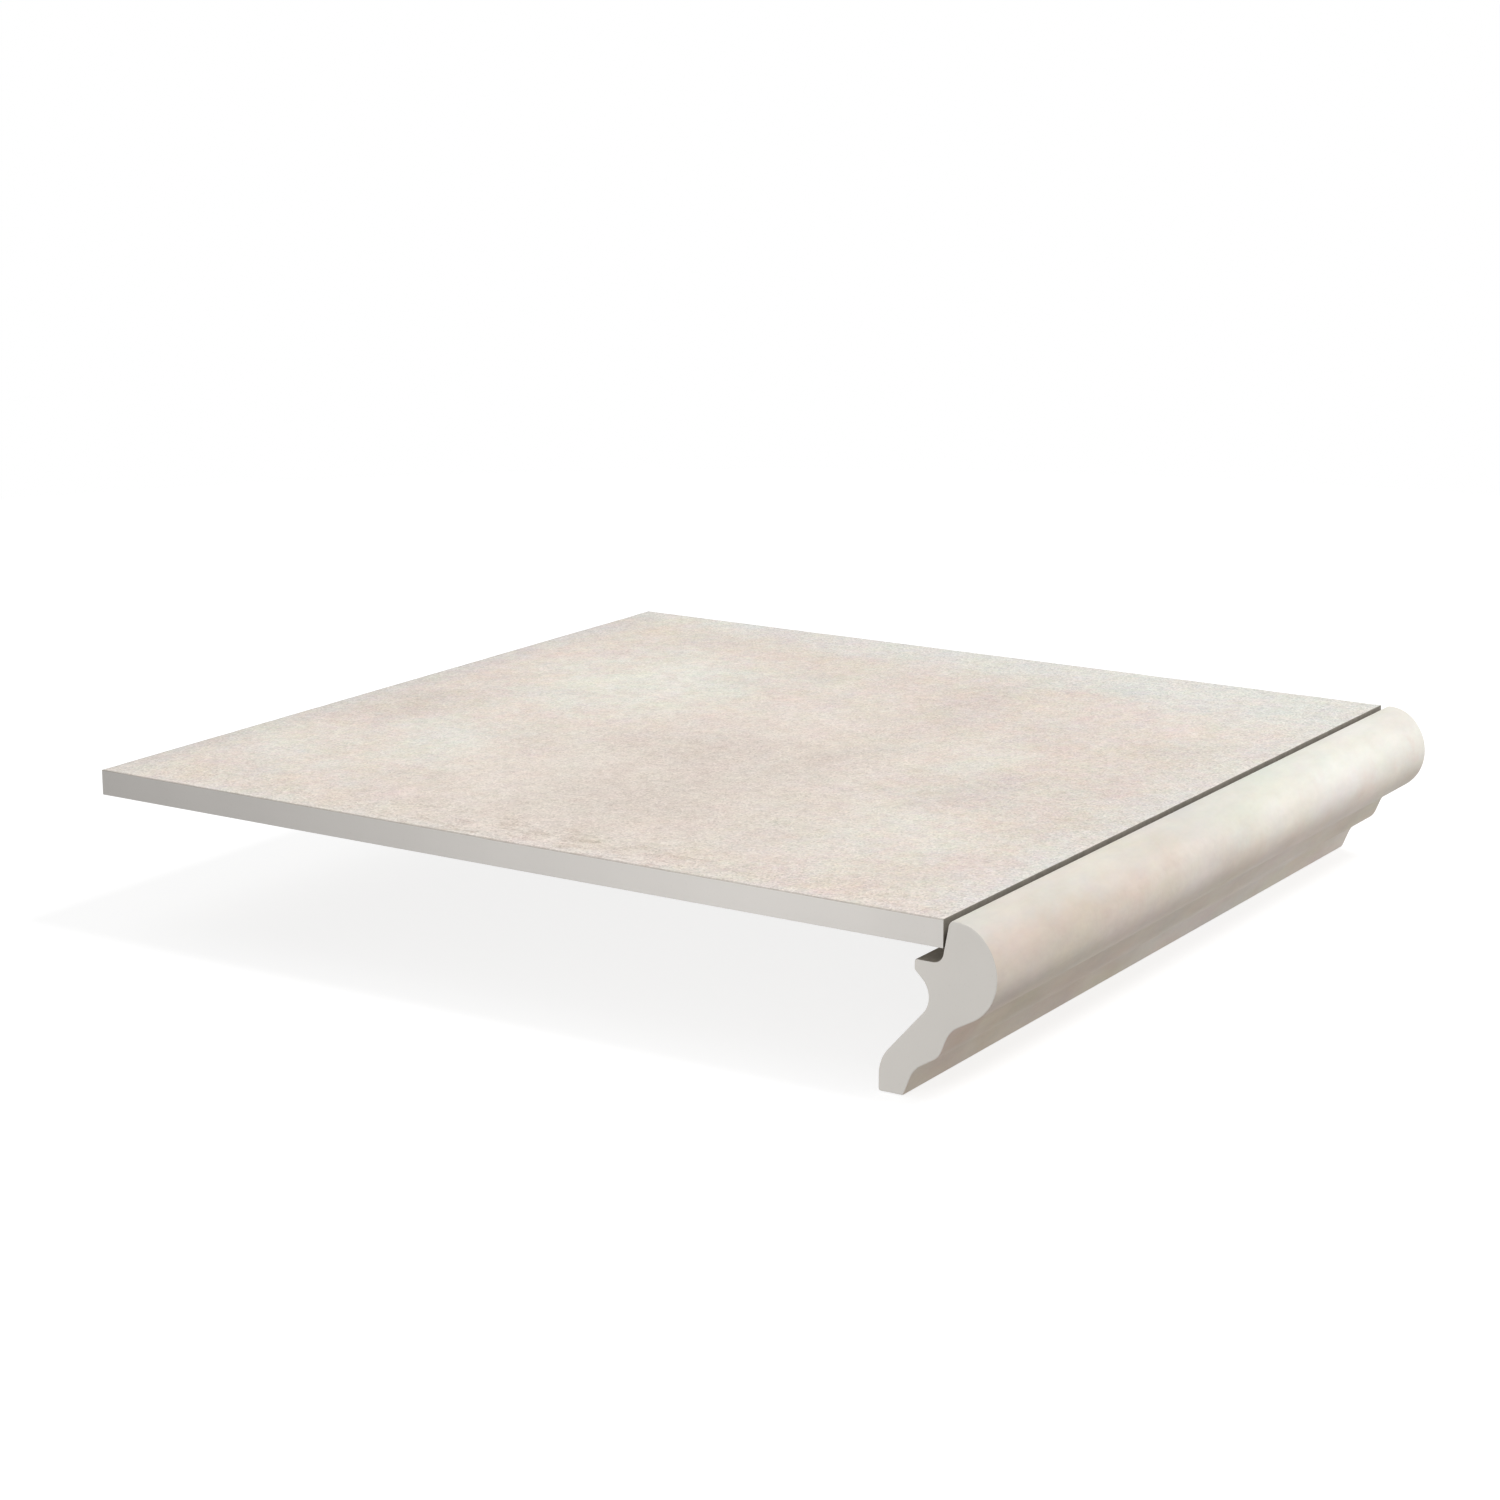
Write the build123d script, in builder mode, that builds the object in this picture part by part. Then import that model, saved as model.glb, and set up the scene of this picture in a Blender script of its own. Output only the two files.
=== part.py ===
from build123d import *
import os
from math import cos, radians, sin, tan

# A square porcelain stair tile with a separate moulded nosing along its front edge.
# Frame: X along the stair's width, -Y towards the person who climbs, Z up,
# with the origin on the floor under the middle of the whole part. All sizes are in millimetres.

# Tread tile
tread_width = 300.0
tile_depth = 300.0
tile_thickness = 8.0
tile_corner_radius = 0.6
tile_arris_radius = 0.5
tile_back_arris_radius = 0.4

# Joint between the tile and the nosing, open at the top like a V
joint_clearance = 0.3
joint_wall_lean = 10.5
joint_edge_radius = 1.8
bed_gap = 4.2

# Bull nose, from the level land on top round to the soffit below
top_land = 0.4
crown_radius = 11.6
crown_turn = 45.0
nose_radius = 15.4
soffit_radius = 14.4
soffit_angle = 29.5
soffit_length = 7.7

# Two ogee drip steps under the nose, and the foot below them
nosing_height = 51.2
drip_run = 3.2
ledge_run = 7.7
ledge_rise = 4.75
step_cove_radius = 8.0
step_nose_radius = 6.0
foot_thickness = 7.7
foot_edge_radius = 0.7

# Back of the nosing: heel of the foot, coved neck, and the lip that reaches under the tile
heel_height = 9.0
heel_radius = 11.0
neck_setback = 1.6
neck_drop = 22.0
neck_radius = 7.0
lip_reach = 8.7
lip_thickness = 3.0
lip_edge_radius = 0.8
lip_root_radius = 3.0

# Share of a side's length that the roundings at its two ends may use up together
side_share = 0.98


def turn_at(corner, before, after):
    """Angle in degrees by which an outline changes direction at a corner."""
    return (Vector(corner) - Vector(before)).get_angle(Vector(after) - Vector(corner))


def fitted_radii(corners, radii):
    """Radii for every corner but the two end points, made smaller where a side is too short."""
    reach = [0.0] * len(corners)
    for place, radius in enumerate(radii, start=1):
        turn = turn_at(corners[place], corners[place - 1], corners[place + 1])
        reach[place] = radius * tan(radians(turn / 2))
    share = [1.0] * len(corners)
    for place in range(len(corners) - 1):
        side = (Vector(corners[place + 1]) - Vector(corners[place])).length * side_share
        taken = reach[place] + reach[place + 1]
        if taken > side:
            share[place] = min(share[place], side / taken)
            share[place + 1] = min(share[place + 1], side / taken)
    return [radius * part for radius, part in zip(radii, share[1:-1])]


# The nosing's outline is drawn as (forward of the tile's front face, above the tread).
# Straight wall of the joint, which leans away from the tile towards the top
wall_slope = tan(radians(joint_wall_lean))
lip_top_level = -(tile_thickness + bed_gap)
wall_top = (joint_clearance + tile_thickness * wall_slope, 0)
lip_root = (joint_clearance - bed_gap * wall_slope, lip_top_level)
lip_top = (-lip_reach, lip_top_level)
lip_under = (-lip_reach, lip_top_level - lip_thickness)
neck = (-neck_setback, -neck_drop)

# Level land, then the bull nose's three arcs, each tangent to the one before
wall_top_reach = joint_edge_radius * tan(radians((90 - joint_wall_lean) / 2))
crown_start = (wall_top[0] + wall_top_reach + top_land, 0)

with BuildLine() as bull_nose:
    crown = JernArc(start=crown_start, tangent=(1, 0), radius=crown_radius, arc_size=-crown_turn)
    front = JernArc(start=crown @ 1, tangent=crown % 1, radius=nose_radius, arc_size=crown_turn - 90)
    nose_reach = (front @ 1).X
    under = JernArc(start=front @ 1, tangent=front % 1, radius=soffit_radius, arc_size=soffit_angle - 90)

# Straight soffit behind the bull nose, then drip, ledge and drip down to the foot
soffit_start = under @ 1
soffit_run = soffit_length * cos(radians(soffit_angle))
soffit_rise = soffit_length * sin(radians(soffit_angle))
upper_cove = (soffit_start.X - soffit_run, soffit_start.Y - soffit_rise)
drip_rise = (nosing_height + upper_cove[1] - ledge_rise) / 2
upper_step = (upper_cove[0] - drip_run, upper_cove[1] - drip_rise)
lower_cove = (upper_step[0] - ledge_run, upper_step[1] - ledge_rise)
foot_front = (lower_cove[0] - drip_run, -nosing_height)
foot_back = (foot_front[0] - foot_thickness, -nosing_height)
heel = (foot_back[0], heel_height - nosing_height)

# Corners after the bull nose and the rounding at each, from the soffit round the back to the land
rounded_corners = [
    (upper_cove, step_cove_radius),
    (upper_step, step_nose_radius),
    (lower_cove, step_cove_radius),
    (foot_front, foot_edge_radius),
    (foot_back, foot_edge_radius),
    (heel, heel_radius),
    (neck, neck_radius),
    (lip_under, lip_edge_radius),
    (lip_top, lip_edge_radius),
    (lip_root, lip_root_radius),
    (wall_top, joint_edge_radius),
]
first_corner = (soffit_start.X, soffit_start.Y)
corners = [first_corner] + [corner for corner, radius in rounded_corners] + [crown_start]
corner_radii = fitted_radii(corners, [radius for corner, radius in rounded_corners])

# The nose stands forward of the tile, so the tile sits behind the middle of the whole part
tile_front_y = nose_reach - (tile_depth + nose_reach) / 2
tile_centre_y = tile_front_y + tile_depth / 2
underside_level = nosing_height - tile_thickness
section_plane = Plane(origin=(0, tile_front_y, nosing_height), x_dir=(0, -1, 0), z_dir=(-1, 0, 0))

# Tread tile: a flat slab with slightly rounded corners and arrises
with BuildPart() as tread_tile:
    with BuildSketch(Plane.XY.offset(underside_level)):
        with Locations((0, tile_centre_y)):
            RectangleRounded(tread_width, tile_depth, tile_corner_radius)
    extrude(amount=tile_thickness)
    fillet(tread_tile.edges().group_by(Axis.Z)[-1], radius=tile_arris_radius)
    fillet(tread_tile.edges().group_by(Axis.Z)[0], radius=tile_back_arris_radius)

# Nosing: the moulded section, run along the tile's whole width
with BuildPart() as nosing:
    with BuildSketch(section_plane):
        with BuildLine():
            add(bull_nose.line)
            FilletPolyline(*corners, radius=corner_radii)
        make_face()
    extrude(amount=tread_width / 2, both=True)

os.makedirs("parts", exist_ok=True)
tread_tile.part.label = "tread_tile"
export_step(tread_tile.part, "parts/tread_tile.step")
nosing.part.label = "nosing"
export_step(nosing.part, "parts/nosing.step")
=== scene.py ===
# %% [markdown]
# # A stair tread tile with a moulded nosing
#
# The object is two fired pieces of porcelain. A flat square tile is walked on, and a long
# moulding, the nosing, finishes its front edge with a bull nose and two small drip steps.
# The CAD model gives the exact places, so it is loaded first as a frame that is never changed.
# The pieces below stand in for its two solids with finer edges, relief and fired finishes.

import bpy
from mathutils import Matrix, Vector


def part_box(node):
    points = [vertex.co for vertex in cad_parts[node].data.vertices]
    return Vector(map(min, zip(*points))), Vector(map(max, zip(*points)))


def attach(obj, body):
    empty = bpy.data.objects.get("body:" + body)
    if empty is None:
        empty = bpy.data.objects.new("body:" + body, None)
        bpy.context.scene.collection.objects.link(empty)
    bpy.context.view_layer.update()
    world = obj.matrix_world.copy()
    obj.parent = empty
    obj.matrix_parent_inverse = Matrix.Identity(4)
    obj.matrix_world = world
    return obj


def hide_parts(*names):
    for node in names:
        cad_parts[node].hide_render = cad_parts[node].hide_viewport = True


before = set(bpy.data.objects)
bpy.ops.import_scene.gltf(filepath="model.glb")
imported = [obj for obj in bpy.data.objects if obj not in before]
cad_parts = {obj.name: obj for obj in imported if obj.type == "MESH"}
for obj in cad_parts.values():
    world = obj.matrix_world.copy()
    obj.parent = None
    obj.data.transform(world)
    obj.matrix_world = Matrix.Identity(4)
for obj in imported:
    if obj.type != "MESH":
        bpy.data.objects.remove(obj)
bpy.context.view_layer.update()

# %% Tools, and the room that each piece has
from math import ceil, cos, pi, radians, sin, tan

import bmesh
import bpy
from bmesh.types import BMEdge, BMFace, BMVert
from mathutils import Matrix, Vector, noise

MM = 0.001
tile_low, tile_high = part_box("tread_tile")
nosing_low, nosing_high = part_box("nosing")
print("tile from", tuple(tile_low), "to", tuple(tile_high))
print("nosing from", tuple(nosing_low), "to", tuple(nosing_high))

# %% [markdown]
# ## Turning a bmesh into a piece
#
# Every piece goes through the same last steps. Faces are shaded smooth, but edges that turn by
# more than about thirty degrees stay crisp, as a fired arris does. A face with many corners, such
# as the end of the moulding, is a sawn plane, so it is shaded flat. The object keeps the frame's
# origin, rides on the part's only body, and hides the CAD node that it stands for.

# %% Helpers that pick out elements and finish a piece
CRISP_EDGE = radians(32)
FLAT_ABOVE = 8


def picked(elements, kind):
    """The vertices, edges or faces among the mixed elements that an operator returns."""
    return [element for element in elements if isinstance(element, kind)]


def add_piece(name, bm, node):
    """Makes an object of a bmesh, sets what it rides on, and hides the CAD node that it stands
    for.
    """
    bmesh.ops.recalc_face_normals(bm, faces=bm.faces)
    for face in bm.faces:
        face.smooth = len(face.verts) <= FLAT_ABOVE
    for edge in bm.edges:
        edge.smooth = edge.is_manifold and edge.calc_face_angle() < CRISP_EDGE
    mesh = bpy.data.meshes.new(name)
    bm.to_mesh(mesh)
    bm.free()
    piece = bpy.data.objects.new(name, mesh)
    bpy.context.scene.collection.objects.link(piece)
    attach(piece, "root")
    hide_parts(node)
    triangles = sum(len(face.vertices) - 2 for face in mesh.polygons)
    print(name, "has", len(mesh.polygons), "faces,", triangles, "triangles")
    return piece


# %% [markdown]
# ## The nosing's section
#
# A moulding has one section all along, so the section is the whole design. A potter's template
# would show straight runs joined by round corners. Each corner is listed as its distance forward
# of the tile's front face, its height above the tread, and its rounding. One vertex is pushed
# along the straight runs and spun about a centre at each corner, so every round is a true arc.

# %% Corners of the section
# (forward, up, rounding) in millimetres, from the crown over the nose and round the back
NOSING_CORNERS = [
    (8.485, 0.0, 11.6),
    (16.3925, -7.908, 15.4),
    (16.3925, -22.685, 14.4),
    (2.382, -30.612, 8.0),
    (-0.818, -38.531, 6.0),
    (-8.518, -43.281, 8.0),
    (-11.718, -51.2, 0.7),
    (-19.418, -51.2, 0.7),
    (-19.418, -42.2, 11.0),
    (-1.6, -22.0, 7.0),
    (-8.7, -15.2, 0.8),
    (-8.7, -12.2, 0.8),
    (-0.478, -12.2, 3.0),
    (1.783, 0.0, 1.8),
]
NOSING_ARRIS = 0.35 * MM


def section_point(place):
    """A (forward, up) point of the section, at the nosing's near end."""
    forward, up = place
    near_end = nosing_low.x + NOSING_ARRIS
    return Vector((near_end, tile_low.y - forward * MM, tile_high.z + up * MM))


def corner_arc(corners, number):
    """Where a corner's rounding starts, the centre of the rounding, and how far it turns."""
    corner, before, after = (Vector(corners[place % len(corners)][:2])
                             for place in (number, number - 1, number + 1))
    rounding = corners[number][2]
    heading = (corner - before).normalized()
    turn = heading.angle_signed((after - corner).normalized())
    arc_start = corner - heading * rounding * tan(abs(turn) / 2)
    right_hand = Vector((heading.y, -heading.x))
    centre = arc_start + right_hand * (rounding if turn > 0 else -rounding)
    return arc_start, centre, turn


print("section has", len(NOSING_CORNERS), "corners")

# %% Draw the section with straight pushes and spins
ARC_CHORD = 0.55
LEAST_STEPS = 4
SEAM = 1e-6


def draw_section(bm, corners):
    """Leads one vertex round the section, and fills the outline with a face."""
    tip = first = None
    for number, (_, _, rounding) in enumerate(corners):
        arc_start, centre, turn = corner_arc(corners, number)
        start_point = section_point(arc_start)
        if tip is None:
            tip = first = bmesh.ops.create_vert(bm, co=start_point)["vert"][0]
        elif (tip.co - start_point).length > SEAM:
            tip = bmesh.ops.extrude_vert_indiv(bm, verts=[tip])["verts"][0]
            tip.co = start_point
        steps = max(LEAST_STEPS, ceil(abs(turn) * rounding / ARC_CHORD))
        spun = bmesh.ops.spin(bm, geom=[tip], cent=section_point(centre), axis=(1, 0, 0),
                              angle=turn, steps=steps, use_duplicate=False)
        tip = picked(spun["geom_last"], BMVert)[0]
    bmesh.ops.contextual_create(bm, geom=[tip, first])
    bmesh.ops.remove_doubles(bm, verts=bm.verts, dist=SEAM * 2)
    return bmesh.ops.contextual_create(bm, geom=bm.edges[:])["faces"][0]


nosing_bm = bmesh.new()
near_face = draw_section(nosing_bm, NOSING_CORNERS)
print("outline has", len(near_face.verts), "points")

# %% [markdown]
# ## The nosing's run and its ends
#
# The section is run along the stair's width, as clay is pushed through a die. The ends are cut
# and then eased with a stone, which leaves an arris a third of a millimetre wide. A bevel would
# have to find its way round every small arc, so two insets of the end face make the arris: the
# first goes mostly outwards and the second mostly inwards.

# %% Run the section along the nosing and ease its ends
# (inwards, outwards) as shares of the arris
ARRIS_INSETS = ((0.3, 0.7), (0.7, 0.3))
run = nosing_high.x - nosing_low.x - 2 * NOSING_ARRIS
extruded = bmesh.ops.extrude_face_region(nosing_bm, geom=[near_face], use_keep_orig=True)["geom"]
far_face = picked(extruded, BMFace)[0]
bmesh.ops.translate(nosing_bm, vec=(run, 0, 0), verts=picked(extruded, BMVert))
bmesh.ops.recalc_face_normals(nosing_bm, faces=nosing_bm.faces)
for end_face in (near_face, far_face):
    for inwards, outwards in ARRIS_INSETS:
        bmesh.ops.inset_region(nosing_bm, faces=[end_face], thickness=inwards * NOSING_ARRIS,
                               depth=outwards * NOSING_ARRIS, use_even_offset=True)
print("nosing has", len(nosing_bm.faces), "faces on a run of", run, "m")

# %% [markdown]
# ## Where the glaze goes
#
# The nosing is glazed only where people see it: on top, round the nose and down the steps to the
# foot. The cut ends, the back and the underside stay bare. The wall of the open joint and the top
# of the lip get a dark grey painted shade, which makes the joint read as a dark line.
# So every face is sorted by the way it looks: slot 0 is glaze, 1 bare body and 2 painted shade.

# %% Sort the nosing's faces into glaze, bare body and painted joint shade
GLAZE, BODY, PAINTED_SHADE_SLOT = 0, 1, 2
MOST_SIDEWAYS = 0.5
LEAST_FORWARD = -0.02
LEAST_UPWARD = 0.75
GLAZED_RIM = nosing_high.z - 1.5 * MM
LIP_LEVEL = tile_high.z - 12.5 * MM
JOINT_REACH = tile_low.y - 2.5 * MM
for face in nosing_bm.faces:
    middle = face.calc_center_median()
    along_run = abs(face.normal.x) < MOST_SIDEWAYS
    looks_forward = face.normal.y < LEAST_FORWARD
    on_top = face.normal.z > LEAST_UPWARD and middle.z > GLAZED_RIM
    in_joint = middle.z > LIP_LEVEL and middle.y > JOINT_REACH
    if along_run and (looks_forward or on_top):
        face.material_index = GLAZE
    # faces in the joint take the dark grey painted shade
    elif along_run and in_joint:
        face.material_index = PAINTED_SHADE_SLOT
    else:
        face.material_index = BODY
nosing = add_piece("nosing_moulding", nosing_bm, "nosing")

# %% [markdown]
# ## The tread tile
#
# The tile is pressed from powder, so its top carries a slight relief, its arrises are a little
# soft, and its underside has a grid of low ribs that the adhesive grips. A fine grid of faces is
# the top. Its rim is extruded round the arris and down the sides, the underside is cut into
# cells, and each cell is inset to leave ribs between shallow pockets. The top has a whole number
# of cells to each cell of the underside, so that the cuts meet the rim at its own points.

# %% Top of the tile with its pressed relief
BACK_CELLS = 12
TOP_CELLS = 13 * BACK_CELLS
TILE_ARRIS = 0.25 * MM
RELIEF_DEPTH = 0.09 * MM
RELIEF_SCALE = 95
RELIEF_FADE = 6 * MM
WEAR_DEPTH = 0.12 * MM
WEAR_SCALE = 110
tile_centre = (tile_low + tile_high) / 2
half_side = (tile_high.x - tile_low.x) / 2
top_half = half_side - TILE_ARRIS


def rough(place, scale):
    """A noise of three layers, each a little over twice as fine as the one before."""
    return noise.fractal(place * scale, 1.0, 2.1, 3)


def relief(place):
    """How far the pressed top lies below the tread level, from 0 to the relief's depth."""
    to_rim = top_half - max(abs(place.x - tile_centre.x), abs(place.y - tile_centre.y))
    fade = min(1.0, to_rim / RELIEF_FADE)
    return RELIEF_DEPTH * fade * min(1.0, max(0.0, 0.5 + 0.5 * rough(place, RELIEF_SCALE)))


def rim_wear(place):
    """Small dips along the rim, where the arris has been knocked."""
    return WEAR_DEPTH * max(0.0, rough(place, WEAR_SCALE))


tile_bm = bmesh.new()
bmesh.ops.create_grid(tile_bm, x_segments=TOP_CELLS, y_segments=TOP_CELLS, size=top_half)
bmesh.ops.translate(tile_bm, vec=(tile_centre.x, tile_centre.y, tile_high.z), verts=tile_bm.verts)
for vertex in tile_bm.verts:
    vertex.co.z -= relief(vertex.co) + (rim_wear(vertex.co) if vertex.is_boundary else 0)
for face in tile_bm.faces:
    face.material_index = GLAZE
print("top of", len(tile_bm.faces), "cells")

# %% Sides of the tile, out round each arris and down
TILE_BACK_ARRIS = 0.2 * MM
ARRIS_STEPS = 4


def arris_turn(step):
    """The angle that an arris has turned through after some of its steps."""
    return pi / 2 * step / ARRIS_STEPS


def grow_rim(bm, rim, reach_before, reach_after, drop, flat_level=None, slot=BODY):
    """Extrudes a square rim, scales it to a new reach from the centre and lowers it."""
    grown = bmesh.ops.extrude_edge_only(bm, edges=rim)["geom"]
    corners = picked(grown, BMVert)
    scale = reach_after / reach_before
    bmesh.ops.scale(bm, vec=(scale, scale, 1), verts=corners,
                    space=Matrix.Translation((-tile_centre.x, -tile_centre.y, 0)))
    bmesh.ops.translate(bm, vec=(0, 0, -drop), verts=corners)
    if flat_level is not None:
        bmesh.ops.scale(bm, vec=(1, 1, 0), verts=corners,
                        space=Matrix.Translation((0, 0, -flat_level)))
    for face in picked(grown, BMFace):
        face.material_index = slot
    return [edge for edge in picked(grown, BMEdge) if edge.is_boundary]


rim = [edge for edge in tile_bm.edges if edge.is_boundary]
reach = top_half
for step in range(1, ARRIS_STEPS + 1):
    drop = TILE_ARRIS * (cos(arris_turn(step - 1)) - cos(arris_turn(step)))
    new_reach = top_half + TILE_ARRIS * sin(arris_turn(step))
    rim = grow_rim(tile_bm, rim, reach, new_reach, drop, slot=GLAZE)
    reach = new_reach
rim = grow_rim(tile_bm, rim, reach, reach, 0, flat_level=tile_low.z + TILE_BACK_ARRIS)
for step in range(1, ARRIS_STEPS + 1):
    drop = TILE_BACK_ARRIS * (sin(arris_turn(step)) - sin(arris_turn(step - 1)))
    new_reach = half_side - TILE_BACK_ARRIS * (1 - cos(arris_turn(step)))
    rim = grow_rim(tile_bm, rim, reach, new_reach, drop)
    reach = new_reach
print("rim of", len(rim), "edges round the underside")

# %% Underside of the tile, cut into ribbed cells
RIB_WIDTH = 2.6 * MM
RIB_HEIGHT = 0.5 * MM
back = bmesh.ops.contextual_create(tile_bm, geom=rim)["faces"]
for face in back:
    face.material_index = BODY
cell = 2 * reach / BACK_CELLS
for number in range(1, BACK_CELLS):
    for direction in (Vector((1, 0, 0)), Vector((0, 1, 0))):
        sheet = set(back)
        for face in back:
            sheet.update(face.edges)
            sheet.update(face.verts)
        place = tile_centre + direction * (number * cell - reach)
        cut = bmesh.ops.bisect_plane(tile_bm, geom=list(sheet), dist=SEAM,
                                     plane_co=place, plane_no=direction)["geom"]
        back = picked(cut, BMFace)
bmesh.ops.recalc_face_normals(tile_bm, faces=tile_bm.faces)
bmesh.ops.inset_individual(tile_bm, faces=back, thickness=RIB_WIDTH / 2, depth=-RIB_HEIGHT,
                           use_even_offset=True)
print("underside has", len(back), "pockets")

# %% Painted joint shade on the tile's front, up over its arris
FRONT_FACING = -0.3
for face in tile_bm.faces:
    at_front = face.calc_center_median().y < tile_low.y + TILE_ARRIS
    if at_front and face.normal.y < FRONT_FACING:
        face.material_index = PAINTED_SHADE_SLOT
tile = add_piece("tread_tile_pressed", tile_bm, "tread_tile")

# %% [markdown]
# ## Sums on shader sockets
#
# A finish is easier to read as a formula than as a tangle of links. The small class below wraps
# an output socket, so that masks can be added, multiplied and turned round with plain operators.
# Every other kind of node is made by one method of the finish.

# %% The socket class and the finish class
class Wire:
    """An output socket that takes part in sums."""

    def __init__(self, finish, socket):
        self.finish = finish
        self.socket = socket

    def sum(self, operation, first, second):
        return self.finish.node("ShaderNodeMath", {"operation": operation}, {0: first, 1: second})

    def __add__(self, other):
        return self.sum("ADD", self, other)

    def __radd__(self, other):
        return self.sum("ADD", other, self)

    def __sub__(self, other):
        return self.sum("SUBTRACT", self, other)

    def __rsub__(self, other):
        return self.sum("SUBTRACT", other, self)

    def __mul__(self, other):
        return self.sum("MULTIPLY", self, other)

    def __rmul__(self, other):
        return self.sum("MULTIPLY", other, self)


class Finish:
    """A material or a world, and its node tree."""

    def __init__(self, name, owner=None):
        self.owner = owner or bpy.data.materials.new(name)
        self.owner.use_nodes = True
        self.tree = self.owner.node_tree
        self.shader = self.tree.nodes.get("Principled BSDF")
        self.place = self.node("ShaderNodeTexCoord", output="Object")

    def node(self, kind, settings=None, inputs=None, output=0):
        made = self.tree.nodes.new(kind)
        for name, value in (settings or {}).items():
            setattr(made, name, value)
        for name, value in (inputs or {}).items():
            self.feed(made.inputs[name], value)
        return Wire(self, made.outputs[output])

    def feed(self, socket, value):
        if isinstance(value, Wire):
            self.tree.links.new(value.socket, socket)
        else:
            socket.default_value = value

    def parts(self, vector):
        """The three numbers of a vector or colour, as wires."""
        first = self.node("ShaderNodeSeparateXYZ", {}, {"Vector": vector})
        return [Wire(self, socket) for socket in first.socket.node.outputs]

    def set(self, **inputs):
        """Feeds sockets of the shader, with _ for each space in their names."""
        for name, value in inputs.items():
            self.feed(self.shader.inputs[name.replace("_", " ")], value)


# %% Helpers for colours and noises
def srgb(red, green, blue):
    """A colour as it is read off a screen, turned into light values for a shader."""
    levels = [channel / 255 for channel in (red, green, blue)]
    light = [((level + 0.055) / 1.055) ** 2.4 for level in levels]
    return (*light, 1.0)


def mix_colour(finish, amount, first, second):
    inputs = {0: amount, 6: first, 7: second}
    return finish.node("ShaderNodeMix", {"data_type": "RGBA"}, inputs, output=2)


def leaning(finish, colour, value, lean_from, lean_to):
    """Leans a colour one way where value is under a half, and the other way where it is over."""
    difference = [end - start for start, end in zip(lean_from[:3], lean_to[:3])]
    return finish.node("ShaderNodeVectorMath", {"operation": "MULTIPLY_ADD"},
                       {0: value - 0.5, 1: difference, 2: colour})


def noise_at(finish, scale, detail=2.0, roughness=0.5, place=None):
    """A noise from 0 to 1, with about so many features in a metre."""
    inputs = {"Vector": place or finish.place, "Scale": scale, "Detail": detail,
              "Roughness": roughness}
    return finish.node("ShaderNodeTexNoise", {}, inputs)


def shifted(finish, step, scale=(1, 1, 1)):
    """The object coordinates moved aside, so that a second noise differs from the first."""
    inputs = {"Vector": finish.place, "Location": step, "Scale": scale}
    return finish.node("ShaderNodeMapping", {}, inputs)


print("mid grey is", srgb(128, 128, 128)[0], "as light")


# %% Helpers for masks and for the touch of a surface
def soft_step(finish, value, low, high):
    """0 below low, 1 above high, and a smooth curve between."""
    inputs = {"Value": value, "From Min": low, "From Max": high}
    return finish.node("ShaderNodeMapRange", {"interpolation_type": "SMOOTHSTEP"}, inputs)


def fading(finish, value, low, high):
    """1 below low, 0 above high, and a smooth curve between."""
    return 1 - soft_step(finish, value, low, high)


def absolute(finish, value):
    return finish.node("ShaderNodeMath", {"operation": "ABSOLUTE"}, {0: value})


def bump(finish, height, distance, strength):
    inputs = {"Height": height, "Distance": distance, "Strength": strength}
    return finish.node("ShaderNodeBump", {}, inputs)


# %% [markdown]
# ## The tread's printed glaze
#
# The top looks like pale cement. It could be one noise between two colours, but then it would be
# the same all over, and the real print is not. So it is built mostly in the order of the print: a
# warm beige that drifts, with painted shade that makes it slightly darker towards the front and
# the far side, where the lamps light it more; then a few placed clouds and smudges, each a frayed
# oval.

# %% Drift of the tread glaze
BEIGE_LOW, BEIGE_HIGH = srgb(222, 211, 200), srgb(226, 214, 204)
DRIFT_SCALE, DRIFT_SPAN = 13, (0.32, 0.70)
TREAD_SHADE_FROM, TREAD_SHADE_TO = srgb(215, 204, 194), srgb(227, 216, 206)
TREAD_SHADE_ALONG, TREAD_SHADE_ACROSS = 1.6, 0.6
FRAY_SCALE = 60
tread = Finish("tread_glaze")
across, along, _ = tread.parts(tread.place)
drift = noise_at(tread, DRIFT_SCALE, detail=4, roughness=0.6)
printed = mix_colour(tread, soft_step(tread, drift, *DRIFT_SPAN), BEIGE_LOW, BEIGE_HIGH)
# painted shade: darker towards the front and the far side, where the lamps light the tread more
painted_shade_lean = 0.5 + along * TREAD_SHADE_ALONG - across * TREAD_SHADE_ACROSS
printed = leaning(tread, printed, painted_shade_lean, TREAD_SHADE_FROM, TREAD_SHADE_TO)
ragged = noise_at(tread, FRAY_SCALE, detail=5, roughness=0.7)
fray = ragged - 0.5
print("drift takes", len(tread.tree.nodes), "nodes")

# %% A frayed oval on the tread
SWAY, SWAY_SCALE = 0.034, 30
OVAL_FRAY = 1.4
OVAL_CORE, OVAL_RIM = 0.1, 1.15
sway_noise = {"Vector": tread.place, "Scale": SWAY_SCALE, "Detail": 4, "Roughness": 0.65}
sway = tread.node("ShaderNodeTexNoise", {}, sway_noise, output="Color")
swayed = tread.node("ShaderNodeVectorMath", {"operation": "MULTIPLY_ADD"},
                    {0: sway, 1: (SWAY, SWAY, 0), 2: shifted(tread, (-SWAY / 2, -SWAY / 2, 0))})


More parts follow.
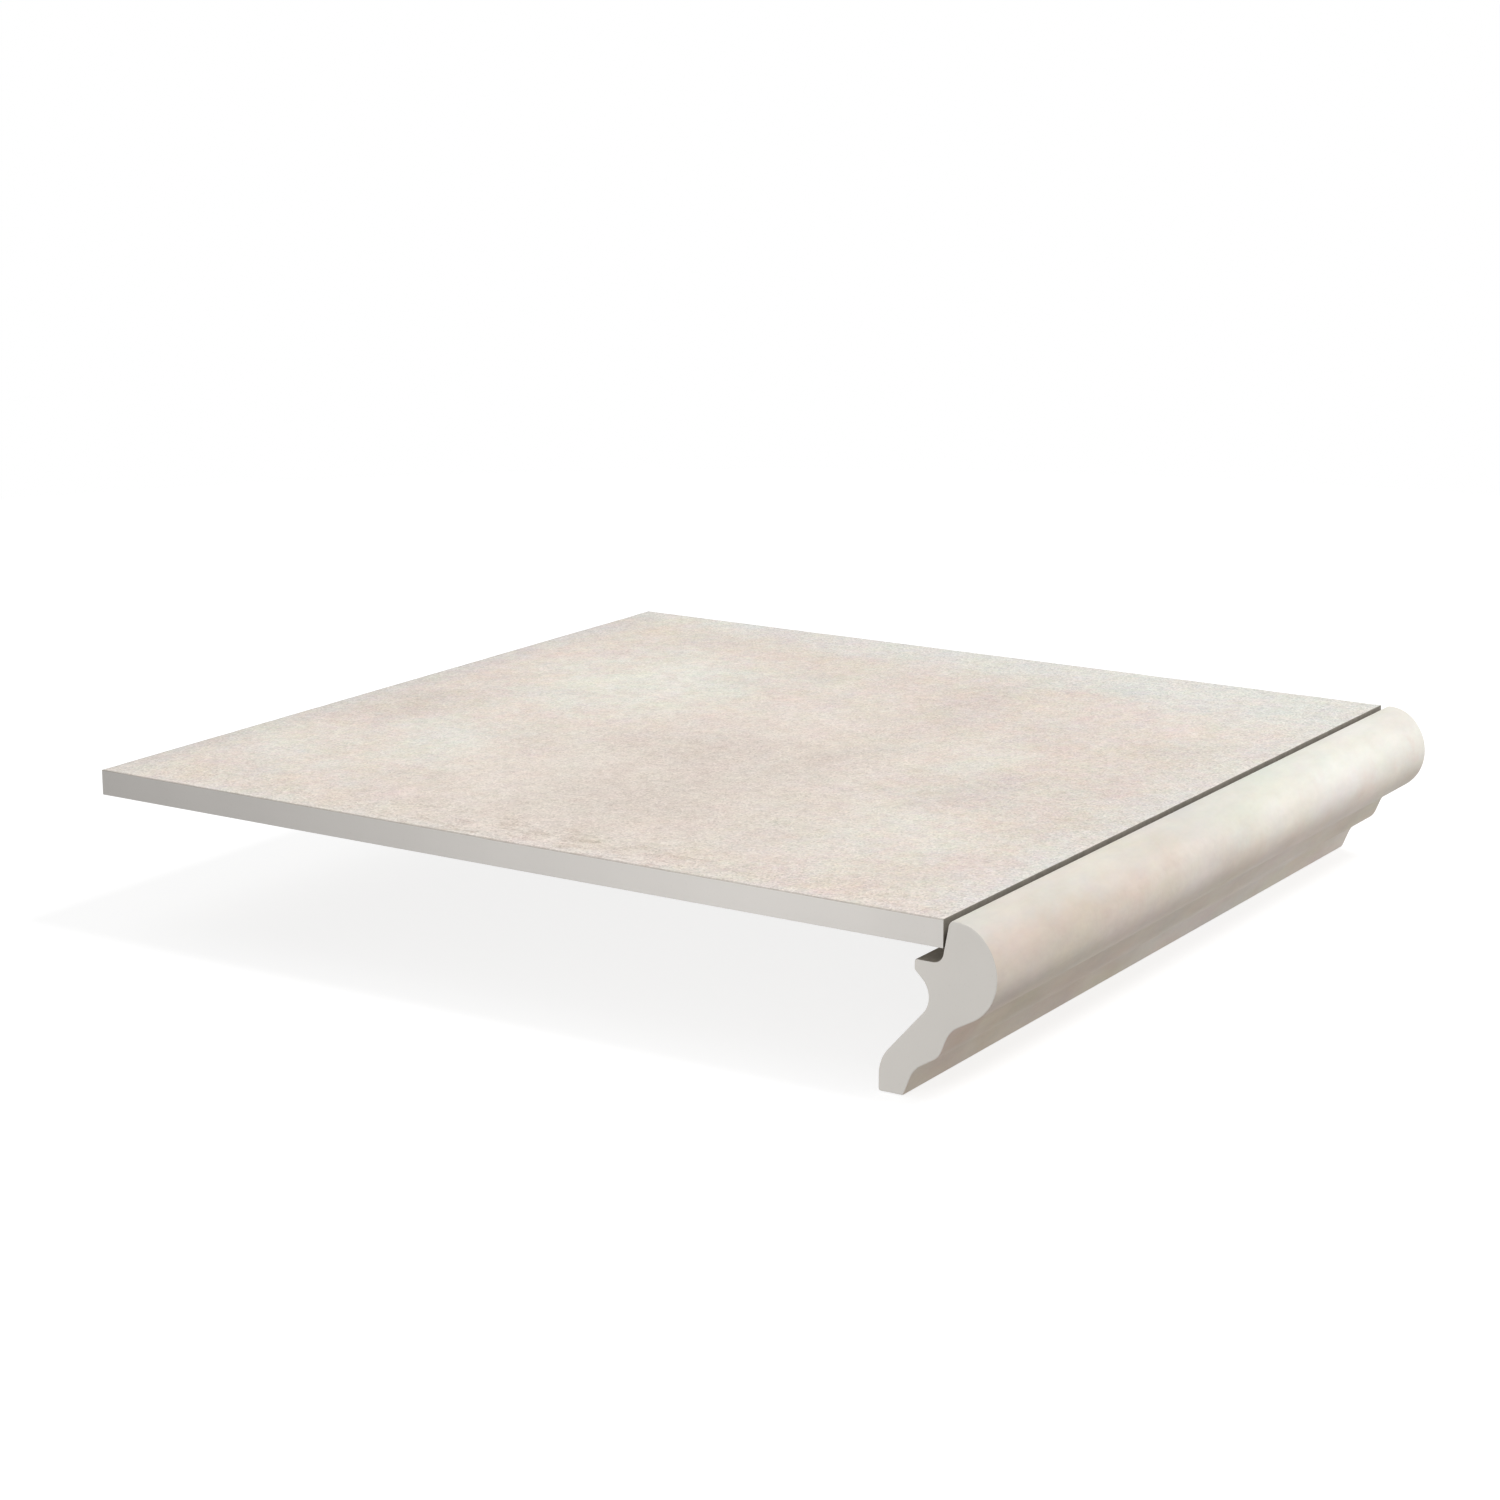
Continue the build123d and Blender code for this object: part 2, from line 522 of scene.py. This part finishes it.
def patch(place_across, place_along, half_length, half_width, turn):
    """1 in the middle of a turned oval with a ragged rim, 0 outside it."""
    inputs = {"Vector": swayed, "Location": (place_across, place_along, tile_high.z),
              "Rotation": (0, 0, radians(turn)), "Scale": (half_length, half_width, 1)}
    oval = tread.node("ShaderNodeMapping", {"vector_type": "TEXTURE"}, inputs)
    away = tread.node("ShaderNodeVectorMath", {"operation": "LENGTH"}, {0: oval}, output="Value")
    return fading(tread, away + fray * OVAL_FRAY, OVAL_CORE, OVAL_RIM)


print("ovals sway by up to", SWAY / 2, "m")

# %% Clouds and smudges of the print
# (across, along, half length, half width in metres, turn in degrees, strength)
PALE_CLOUDS = [
    (0.046, 0.086, 0.066, 0.052, 15, 1.0),
    (-0.060, 0.098, 0.050, 0.026, 41, 0.9),
    (-0.098, 0.124, 0.038, 0.018, 41, 0.6),
    (-0.057, 0.044, 0.026, 0.015, 41, 0.3),
    (-0.080, -0.086, 0.055, 0.038, 0, 0.5),
    (0.015, -0.064, 0.048, 0.023, 20, 0.35),
    (0.098, -0.104, 0.042, 0.032, 20, 0.4),
]
WARM_CLOUDS = [
    (-0.080, 0.050, 0.044, 0.026, 20, 0.7),
    (0.032, 0.020, 0.052, 0.026, 10, 0.8),
    (-0.020, -0.044, 0.036, 0.018, 0, 0.7),
]
DARK_SMUDGES = [
    (-0.026, 0.134, 0.046, 0.026, 0, 0.75),
    (-0.030, 0.006, 0.026, 0.058, 0, 0.65),
    (-0.095, -0.004, 0.050, 0.042, 0, 0.5),
    (0.070, -0.030, 0.050, 0.022, 20, 0.55),
    (-0.030, -0.085, 0.034, 0.022, 0, 0.45),
]
PRINT_COLOURS = [
    (PALE_CLOUDS, srgb(230, 227, 216)),
    (WARM_CLOUDS, srgb(230, 219, 209)),
    (DARK_SMUDGES, srgb(214, 202, 192)),
]
for ovals, colour in PRINT_COLOURS:
    for *oval, strength in ovals:
        printed = mix_colour(tread, patch(*oval) * strength, printed, colour)
    print(len(ovals), "ovals of one colour")

# %% [markdown]
# ## The tread's margins and grains
#
# The edges of the print are bleached, most of all along the far and front edges, and brown flecks
# lie by the near edge. Soft steps of the distance from an edge, frayed by a noise, give these.
# Then come tints that lean the colour a little to grey, green, rose or cream, weaker in a calm
# middle, and sandy grains under a millimetre across. The grains are the cells of a cell pattern,
# each with a tone of its own, which stays crisp where a noise would blur. Leaning adds to the
# colour below and does not paint over it, so the clouds and margins still show. A darker grey
# line runs along the rim, but not at the front.

# %% Bleached margins
FAR_SLANT, FRONT_SLANT = 0.13, 0.05
FRONT_STRENGTH, FRONT_CHANGE = 0.7, 2


def margin(distance, fraying, start, end):
    """0 before start, 1 past end, on a line that is frayed by about so many metres."""
    return soft_step(tread, distance + fray * fraying, start, end)


# distance from the middle, then in metres how far the line frays, where it starts and ends
far_edge = margin(across - along * FAR_SLANT, 0.04, 0.104, 0.138)
front_edge = 1 - margin(along - across * FRONT_SLANT, 0.03, -0.140, -0.116)
back_edge = margin(along, 0.016, 0.140, 0.156)
near_edge = 1 - margin(across, 0.012, -0.149, -0.141)
BLEACHED_EDGES = [
    (front_edge, FRONT_STRENGTH - across * FRONT_CHANGE, srgb(225, 221, 214)),
    (far_edge, 0.9, srgb(221, 219, 212)),
    (back_edge, 0.85, srgb(214, 208, 201)),
    (near_edge, 0.7, srgb(225, 218, 210)),
]
for edge, strength, colour in BLEACHED_EDGES:
    printed = mix_colour(tread, edge * strength, printed, colour)
print(len(BLEACHED_EDGES), "bleached edges")

# %% Brown flecks by the near edge
FLECK_SCALE, FLECK_SPAN = 260, (0.47, 0.66)
FLECK_DRAW = (1, 0.4, 1)
FLECK_MIDDLE, FLECK_REACH = -0.005, (0.03, 0.075)
FLECK_STRENGTH, FLECK_BROWN = 0.7, srgb(196, 181, 168)
drawn_out = shifted(tread, (0, 0, 0), FLECK_DRAW)
flecks = noise_at(tread, FLECK_SCALE, detail=4, roughness=0.65, place=drawn_out)
near_zone = 1 - margin(across, 0.02, -0.140, -0.120)
fleck_zone = near_zone * fading(tread, absolute(tread, along - FLECK_MIDDLE), *FLECK_REACH)
fleck_mask = fleck_zone * soft_step(tread, flecks, *FLECK_SPAN)
printed = mix_colour(tread, fleck_mask * FLECK_STRENGTH, printed, FLECK_BROWN)
print("margins and flecks bring the glaze to", len(tread.tree.nodes), "nodes")

# %% Tints and mottles of the tread glaze
# (features in a metre, shift of the noise, strength, how much weaker in the calm middle,
#  colour that it leans from, colour that it leans to)
TREAD_TINTS = [
    (46, (0.12, 0.36, 0.02), 0.95, 0.0, srgb(195, 185, 175), srgb(231, 221, 211)),
    (52, (0.31, 0.17, 0.05), 1.1, 0.65, srgb(213, 220, 205), srgb(230, 202, 196)),
    (66, (0.07, 0.43, 0.11), 1.05, 0.7, srgb(226, 217, 188), srgb(218, 208, 212)),
]
CALM_MIDDLE = (-0.080, 0.005, 0.160, 0.095, 0)
MOTTLE_SCALE, MOTTLE_SPAN = 210, (0.25, 0.75)
MOTTLE_FROM, MOTTLE_TO = srgb(226, 216, 206), srgb(218, 207, 197)
calm = patch(*CALM_MIDDLE)
for features, shift, strength, weaker, lean_from, lean_to in TREAD_TINTS:
    tint = noise_at(tread, features, detail=5, roughness=0.92, place=shifted(tread, shift))
    lean = 0.5 + (tint - 0.5) * (strength - calm * weaker)
    printed = leaning(tread, printed, lean, lean_from, lean_to)
mottles = noise_at(tread, MOTTLE_SCALE, detail=3, roughness=0.6)
mottles = soft_step(tread, mottles, *MOTTLE_SPAN)
printed = leaning(tread, printed, mottles, MOTTLE_FROM, MOTTLE_TO)
print(len(TREAD_TINTS), "tints and the mottles are on")

# %% Sandy grains and the darker rim line
GRAIN_SCALE, GRAIN_SPAN = 1700, (0.6, 1.0)
GRAIN_DARK, GRAIN_PALE = srgb(208, 198, 188), srgb(235, 225, 215)
GRAIN_STRENGTH, MARGIN_EXTRA = 0.56, 0.12
DARK_RIM_SPAN = (half_side - 0.8 * MM, half_side - 0.3 * MM)
DARK_RIM_FRAY = 0.3 * MM
DARK_RIM_LEAST, DARK_RIM_MORE = 0.35, 0.6
DARK_RIM_GREY = srgb(164, 158, 150)
grain = tread.node("ShaderNodeTexVoronoi", {}, {"Vector": tread.place, "Scale": GRAIN_SCALE},
                   output="Color")
grain_tone, grain_tint, _ = tread.parts(grain)
dark_grains = soft_step(tread, grain_tone, *GRAIN_SPAN)
pale_grains = soft_step(tread, 1 - grain_tone, *GRAIN_SPAN)
bolder = GRAIN_STRENGTH + (far_edge + front_edge + near_zone) * MARGIN_EXTRA
lean = 0.5 + (pale_grains - dark_grains) * bolder
printed = leaning(tread, printed, lean, GRAIN_DARK, GRAIN_PALE)

outer = tread.node("ShaderNodeMath", {"operation": "MAXIMUM"},
                   {0: absolute(tread, across), 1: along - tile_centre.y})
# a darker grey line along the rim, but not at the front
dark_rim_line = soft_step(tread, outer + (grain_tint - 0.5) * DARK_RIM_FRAY, *DARK_RIM_SPAN)
printed = mix_colour(tread, dark_rim_line * (DARK_RIM_LEAST + ragged * DARK_RIM_MORE), printed, DARK_RIM_GREY)
print("grains are about", 1 / GRAIN_SCALE / MM, "mm across")

# %% Tooth and gloss of the tread glaze
TOOTH_SCALE, TOOTH_HEIGHT, TOOTH_STRENGTH = 900, 0.12 * MM, 0.3
STAIN_SCALE = 34
TREAD_ROUGHNESS, ROUGHNESS_DRIFT = 0.62, 0.2
TREAD_SPECULAR = 0.3
tooth = noise_at(tread, TOOTH_SCALE, detail=2, roughness=0.6)
stain = noise_at(tread, STAIN_SCALE, detail=5, roughness=0.62)
tread.set(Base_Color=printed, Roughness=TREAD_ROUGHNESS + (stain - 0.5) * ROUGHNESS_DRIFT,
          Normal=bump(tread, tooth, TOOTH_HEIGHT, TOOTH_STRENGTH))
tread.set(Specular_IOR_Level=TREAD_SPECULAR)
print("tread glaze has", len(tread.tree.nodes), "nodes")

# %% [markdown]
# ## The bare fired body
#
# The sides, the ends and the back show the porcelain itself: plain, light grey and matt, with
# only a fine grain from the pressed powder and a very faint unevenness of tone. The nosing's body
# is the tile's grey made a touch darker as painted shade, so one function makes two bodies from
# two pairs of greys.

# %% Bare bodies of the tile and of the nosing
POWDER_SCALE, POWDER_SPAN, POWDER_STRENGTH = 1400, (0.6, 0.75), 0.2
POWDER_GREY = srgb(190, 185, 179)
POWDER_HEIGHT, POWDER_TOUCH = 0.04 * MM, 0.3
TONE_SCALE, TONE_SPAN = 28, (0.3, 0.7)
BODY_ROUGHNESS, BODY_DRIFT = 0.72, 0.12


def bare_body(name, dark, light):
    body = Finish(name)
    powder = noise_at(body, POWDER_SCALE, detail=2, roughness=0.6)
    tone = noise_at(body, TONE_SCALE, detail=3)
    specks = soft_step(body, powder, *POWDER_SPAN) * POWDER_STRENGTH
    fired = mix_colour(body, soft_step(body, tone, *TONE_SPAN), dark, light)
    fired = mix_colour(body, specks, fired, POWDER_GREY)
    body.set(Base_Color=fired, Roughness=BODY_ROUGHNESS + (powder - 0.5) * BODY_DRIFT,
             Normal=bump(body, powder, POWDER_HEIGHT, POWDER_TOUCH))
    print(name, "has", len(body.tree.nodes), "nodes")
    return body


tile_body = bare_body("tile_body", srgb(212, 208, 203), srgb(216, 212, 207))
# painted shade: the nosing's body is the tile's grey made four levels darker
shaded_nosing_body = bare_body("shaded_nosing_body", srgb(208, 204, 198), srgb(212, 208, 202))

# %% [markdown]
# ## Painted shade in the joint
#
# The faces of the open joint get a grey painted shade, on the nosing's wall and lip and on the
# tile's front up over its arris. It is darker than the body and a little streaky, so one noise
# gives its tone, its roughness and its touch together.

# %% Painted shade in the joint
JOINT_STREAK_SCALE, JOINT_STREAK_SPAN = 300, (0.35, 0.7)
JOINT_STREAK_HEIGHT, JOINT_STREAK_TOUCH = 0.2 * MM, 0.4
# painted shade: dark greys for the faces of the joint
JOINT_SHADE_DARK, JOINT_SHADE_LIGHT = srgb(129, 123, 113), srgb(143, 136, 126)
JOINT_SHADE_ROUGHNESS, JOINT_SHADE_DRIFT = 0.85, 0.1
joint_shade_finish = Finish("joint_painted_shade")
joint_streaks = noise_at(joint_shade_finish, JOINT_STREAK_SCALE, detail=4, roughness=0.65)
joint_shade_colour = mix_colour(joint_shade_finish, soft_step(joint_shade_finish, joint_streaks, *JOINT_STREAK_SPAN), JOINT_SHADE_DARK, JOINT_SHADE_LIGHT)
joint_shade_finish.set(Base_Color=joint_shade_colour, Roughness=JOINT_SHADE_ROUGHNESS + (joint_streaks - 0.5) * JOINT_SHADE_DRIFT,
         Normal=bump(joint_shade_finish, joint_streaks, JOINT_STREAK_HEIGHT, JOINT_STREAK_TOUCH))
print("joint film has", len(joint_shade_finish.tree.nodes), "nodes")

# %% [markdown]
# ## The nosing's satin glaze
#
# The moulding is glazed in the same beige, but smoother: no speckle, only soft rosy and creamy
# clouds. The glaze is paler towards the far end and bleached along the crown. Under the nose it
# takes a brownish painted shade, most of all at the far end and less on the drips at the near
# end, and a pale patch of painted light lies on the front of the nose. Tints drawn out along the
# run show the way it was wiped. Soft steps of the height and of the place along the run say where
# each of these lies.

# %% Cream of the nosing glaze, and where it is pale or rosy
CREAM_LOW, CREAM_HIGH = srgb(228, 212, 197), srgb(236, 223, 208)
PALE_CREAM, ROSY_CREAM = srgb(231, 231, 222), srgb(228, 208, 195)
CREAM_SCALE, CREAM_SPAN = 26, (0.35, 0.65)
BLOOM_SCALE, BLOOM_SPAN, BLOOM_STRENGTH = 60, (0.48, 0.68), 0.4
PALE_RUN, PALE_FRAY, PALE_HEIGHT = (-0.12, 0.10), 0.12, (0.024, 0.038)
PALE_LEAST, PALE_STRENGTH = 0.35, 0.8
glaze = Finish("nosing_glaze")
glaze_across, _, glaze_up = glaze.parts(glaze.place)
mottle = noise_at(glaze, CREAM_SCALE, detail=4, roughness=0.55)
bloom = noise_at(glaze, BLOOM_SCALE, detail=4, roughness=0.65)
cream = mix_colour(glaze, soft_step(glaze, mottle, *CREAM_SPAN), CREAM_LOW, CREAM_HIGH)
paler = soft_step(glaze, glaze_across + (mottle - 0.5) * PALE_FRAY, *PALE_RUN)
paler = paler * (PALE_LEAST + soft_step(glaze, glaze_up, *PALE_HEIGHT) * (1 - PALE_LEAST))
cream = mix_colour(glaze, paler * PALE_STRENGTH, cream, PALE_CREAM)
rosy = soft_step(glaze, bloom, *BLOOM_SPAN) * BLOOM_STRENGTH
cream = mix_colour(glaze, rosy, cream, ROSY_CREAM)
print("cream takes", len(glaze.tree.nodes), "nodes")

# %% Painted shade under the nose
UNDER_NOSE_SHADE_COLOUR, UNDER_NOSE_HEIGHT = srgb(216, 202, 188), (0.026, 0.038)
UNDER_NOSE_FOOT, UNDER_NOSE_LEAST, UNDER_NOSE_STRENGTH = (0.004, 0.016), 0.4, 0.8
DRIP_RUN, DRIP_HEIGHT, NEAR_DRIP_LESS_SHADE = (-0.135, -0.105), (0.017, 0.021), 0.7
FAR_RUN, FAR_SHADE_STRENGTH, FAR_UNDER_NOSE_SHADE = (0.06, 0.13), 0.6, srgb(200, 188, 176)
# painted shade: brownish under the nose, lighter near the foot and on the near drips, darker at
# the far end
under_nose_shade = fading(glaze, glaze_up, *UNDER_NOSE_HEIGHT)
under_nose_shade = under_nose_shade * (UNDER_NOSE_LEAST + soft_step(glaze, glaze_up, *UNDER_NOSE_FOOT) * (1 - UNDER_NOSE_LEAST))
near_drips = fading(glaze, glaze_across, *DRIP_RUN) * fading(glaze, glaze_up, *DRIP_HEIGHT)
under_nose_share = under_nose_shade * (UNDER_NOSE_STRENGTH - near_drips * NEAR_DRIP_LESS_SHADE)
cream = mix_colour(glaze, under_nose_share, cream, UNDER_NOSE_SHADE_COLOUR)
far_end = soft_step(glaze, glaze_across, *FAR_RUN)
cream = mix_colour(glaze, under_nose_shade * far_end * FAR_SHADE_STRENGTH, cream, FAR_UNDER_NOSE_SHADE)
print("thin glaze brings it to", len(glaze.tree.nodes), "nodes")

# %% Bleached crown and a pale patch of painted light on the nose
CROWN_SPAN, CROWN_FRAY = (tile_high.z - 9 * MM, tile_high.z - 1 * MM), 12 * MM
CROWN_STRENGTH, CROWN_PALE = 0.85, srgb(224, 220, 209)
NOSE_LIGHT_RISE, NOSE_LIGHT_FALL = (-0.03, 0.04), (0.075, 0.12)
NOSE_LIGHT_FOOT, NOSE_LIGHT_TOP = (0.034, 0.039), (0.041, 0.046)
NOSE_LIGHT_STRENGTH, NOSE_PAINTED_LIGHT = 0.6, srgb(245, 240, 231)
bleached = soft_step(glaze, glaze_up + (bloom - 0.5) * CROWN_FRAY, *CROWN_SPAN)
cream = mix_colour(glaze, bleached * CROWN_STRENGTH, cream, CROWN_PALE)
# painted light: a pale patch on the front of the nose, from the middle of the run towards the far
# end
nose_light_pool = soft_step(glaze, glaze_across, *NOSE_LIGHT_RISE) * fading(glaze, glaze_across, *NOSE_LIGHT_FALL)
nose_light_pool = nose_light_pool * soft_step(glaze, glaze_up, *NOSE_LIGHT_FOOT) * fading(glaze, glaze_up, *NOSE_LIGHT_TOP)
cream = mix_colour(glaze, nose_light_pool * NOSE_LIGHT_STRENGTH, cream, NOSE_PAINTED_LIGHT)
print("crown and cloud bring it to", len(glaze.tree.nodes), "nodes")

# %% Tints, touch and gloss of the nosing glaze
# (features in a metre, shift of the noise, colour that it leans from, colour that it leans to)
GLAZE_TINTS = [
    (42, (0.21, 0.05, 0.33), srgb(190, 180, 170), srgb(240, 230, 220)),
    (32, (0.62, 0.29, 0.14), srgb(213, 219, 206), srgb(231, 204, 198)),
    (40, (0.40, 0.11, 0.23), srgb(226, 217, 190), srgb(218, 208, 212)),
]
TINT_DRAW = (0.4, 1, 1)
WAVE_HEIGHT, WAVE_TOUCH = 3 * MM, 0.25
MOTTLE_SHARE = 0.6
GLAZE_ROUGHNESS, GLAZE_DRIFT = 0.55, 0.12
GLAZE_SPECULAR = 0.25
for features, shift, lean_from, lean_to in GLAZE_TINTS:
    drawn = shifted(glaze, shift, TINT_DRAW)
    tint = noise_at(glaze, features, detail=5, roughness=0.74, place=drawn)
    cream = leaning(glaze, cream, tint, lean_from, lean_to)
waves = mottle * MOTTLE_SHARE + bloom * (1 - MOTTLE_SHARE)
glaze.set(Base_Color=cream, Roughness=GLAZE_ROUGHNESS + (bloom - 0.5) * GLAZE_DRIFT,
          Normal=bump(glaze, waves, WAVE_HEIGHT, WAVE_TOUCH))
glaze.set(Specular_IOR_Level=GLAZE_SPECULAR)
print("nosing glaze has", len(glaze.tree.nodes), "nodes")

# %% Give the pieces their finishes
for piece, finishes in ((tile, (tread, tile_body, joint_shade_finish)), (nosing, (glaze, shaded_nosing_body, joint_shade_finish))):
    for finish in finishes:
        piece.data.materials.append(finish.owner)
    print(piece.name, "wears", [material.name for material in piece.data.materials])

# %% [markdown]
# ## The camera
#
# The photograph was taken from the left front, a little above the tread, with a longish lens.
# Solving the view from the tile's four corners gave the place, the direction and the focal
# length, so the render can be laid over the photograph.

# %% Camera at the photograph's viewpoint
CAMERA_PLACE = Vector((-0.87174, -0.54545, 0.29798))
CAMERA_LOOK = Vector((0.817243, 0.525497, -0.236573))
SENSOR_WIDTH = 36
LENS = 78.586


def facing(direction):
    """The turn that points a camera or a lamp along a direction."""
    return direction.to_track_quat("-Z", "Y").to_euler()


camera_data = bpy.data.cameras.new("photo_view")
camera_data.sensor_width = SENSOR_WIDTH
camera_data.lens = LENS
camera = bpy.data.objects.new("photo_view", camera_data)
camera.location = CAMERA_PLACE
camera.rotation_euler = facing(CAMERA_LOOK)
bpy.context.scene.collection.objects.link(camera)
bpy.context.scene.camera = camera
print("camera lens", camera_data.lens, "mm")

# %% [markdown]
# ## The studio
#
# The object stands on a plain white floor under soft light from above, with weaker soft lights
# towards its near side and its nose. The camera sees the floor and the background as white,
# while the object itself is lit at a plain level, so its colours come out as they are written.

# %% Soft lights
# (name, place, target, size in metres, power in watts, whether it shows in gloss)
SOFT_LIGHTS = [
    ("overhead", (-0.1, 0.8, 1.5), (0.0, 0.12, 0.05), 1.6, 3.6, True),
    ("key", (0.73, -2.2, 3.66), (0.0, -0.1, 0.05), 1.2, 88, True),
    ("nose_side", (0.51, -0.36, 0.17), (0.13, -0.155, 0.036), 0.16, 0.55, True),
    ("near_side", (-0.375, -0.085, 0.05), (-0.15, -0.085, 0.04), 0.12, 0.275, False),
]
for name, place, target, size, power, in_gloss in SOFT_LIGHTS:
    lamp = bpy.data.lights.new(name, "AREA")
    lamp.shape = "DISK"
    lamp.size = size
    lamp.energy = power
    light = bpy.data.objects.new(name, lamp)
    light.location = place
    light.rotation_euler = facing(Vector(target) - Vector(place))
    light.visible_camera = False
    light.visible_glossy = in_gloss
    bpy.context.scene.collection.objects.link(light)
    print(name, "of", power, "W")

# %% A world that is white to the camera and softer as a lamp
WHITE = (1, 1, 1, 1)
ROOM_LEVEL = 0.46


def white_rays(finish):
    """1 for rays that should find a white surround, 0 for rays that carry light to the object."""
    path = finish.node("ShaderNodeLightPath", output="Is Camera Ray")
    outputs = path.socket.node.outputs
    glossy = Wire(finish, outputs["Is Glossy Ray"])
    through = Wire(finish, outputs["Is Transmission Ray"])
    return finish.node("ShaderNodeMath", {"operation": "ADD", "use_clamp": True},
                       {0: path, 1: glossy + through})


world = Finish("studio", bpy.data.worlds.new("studio"))
bpy.context.scene.world = world.owner
surround = world.tree.nodes["Background"]
surround.inputs["Color"].default_value = WHITE
world.feed(surround.inputs["Strength"], ROOM_LEVEL + white_rays(world) * (1 - ROOM_LEVEL))
print("room lights the object at", ROOM_LEVEL)

# %% A floor that looks white and keeps a pale shadow
FLOOR_RADIUS, FLOOR_SEGMENTS = 0.9, 96
FLOOR_DROP = 0.2 * MM
FLOOR_LEVEL = 0.41
SHADOW_GREY = (0.4, 0.4, 0.4, 1)
FLOOR_SHINE = 0.74
floor_bm = bmesh.new()
bmesh.ops.create_circle(floor_bm, cap_ends=True, radius=FLOOR_RADIUS, segments=FLOOR_SEGMENTS)
floor_mesh = bpy.data.meshes.new("floor")
floor_bm.to_mesh(floor_mesh)
floor_bm.free()
floor = bpy.data.objects.new("floor", floor_mesh)
floor.location.z = -FLOOR_DROP
bpy.context.scene.collection.objects.link(floor)

paper = Finish("floor_paper")
plain = paper.node("ShaderNodeEmission", {}, {"Color": WHITE, "Strength": FLOOR_LEVEL})
shaded = paper.node("ShaderNodeBsdfDiffuse", {}, {"Color": SHADOW_GREY})
shine = paper.node("ShaderNodeEmission", {}, {"Color": WHITE, "Strength": FLOOR_SHINE})
white = paper.node("ShaderNodeAddShader", {}, {0: shaded, 1: shine})
surface = paper.node("ShaderNodeMixShader", {}, {0: white_rays(paper), 1: plain, 2: white})
paper.feed(paper.tree.nodes["Material Output"].inputs["Surface"], surface)
floor.data.materials.append(paper.owner)
print("floor lights the object at", FLOOR_LEVEL)

# %% [markdown]
# ## Colours on the screen
#
# The Standard view shows colours as they are written.

# %% View settings
bpy.context.scene.view_settings.view_transform = "Standard"
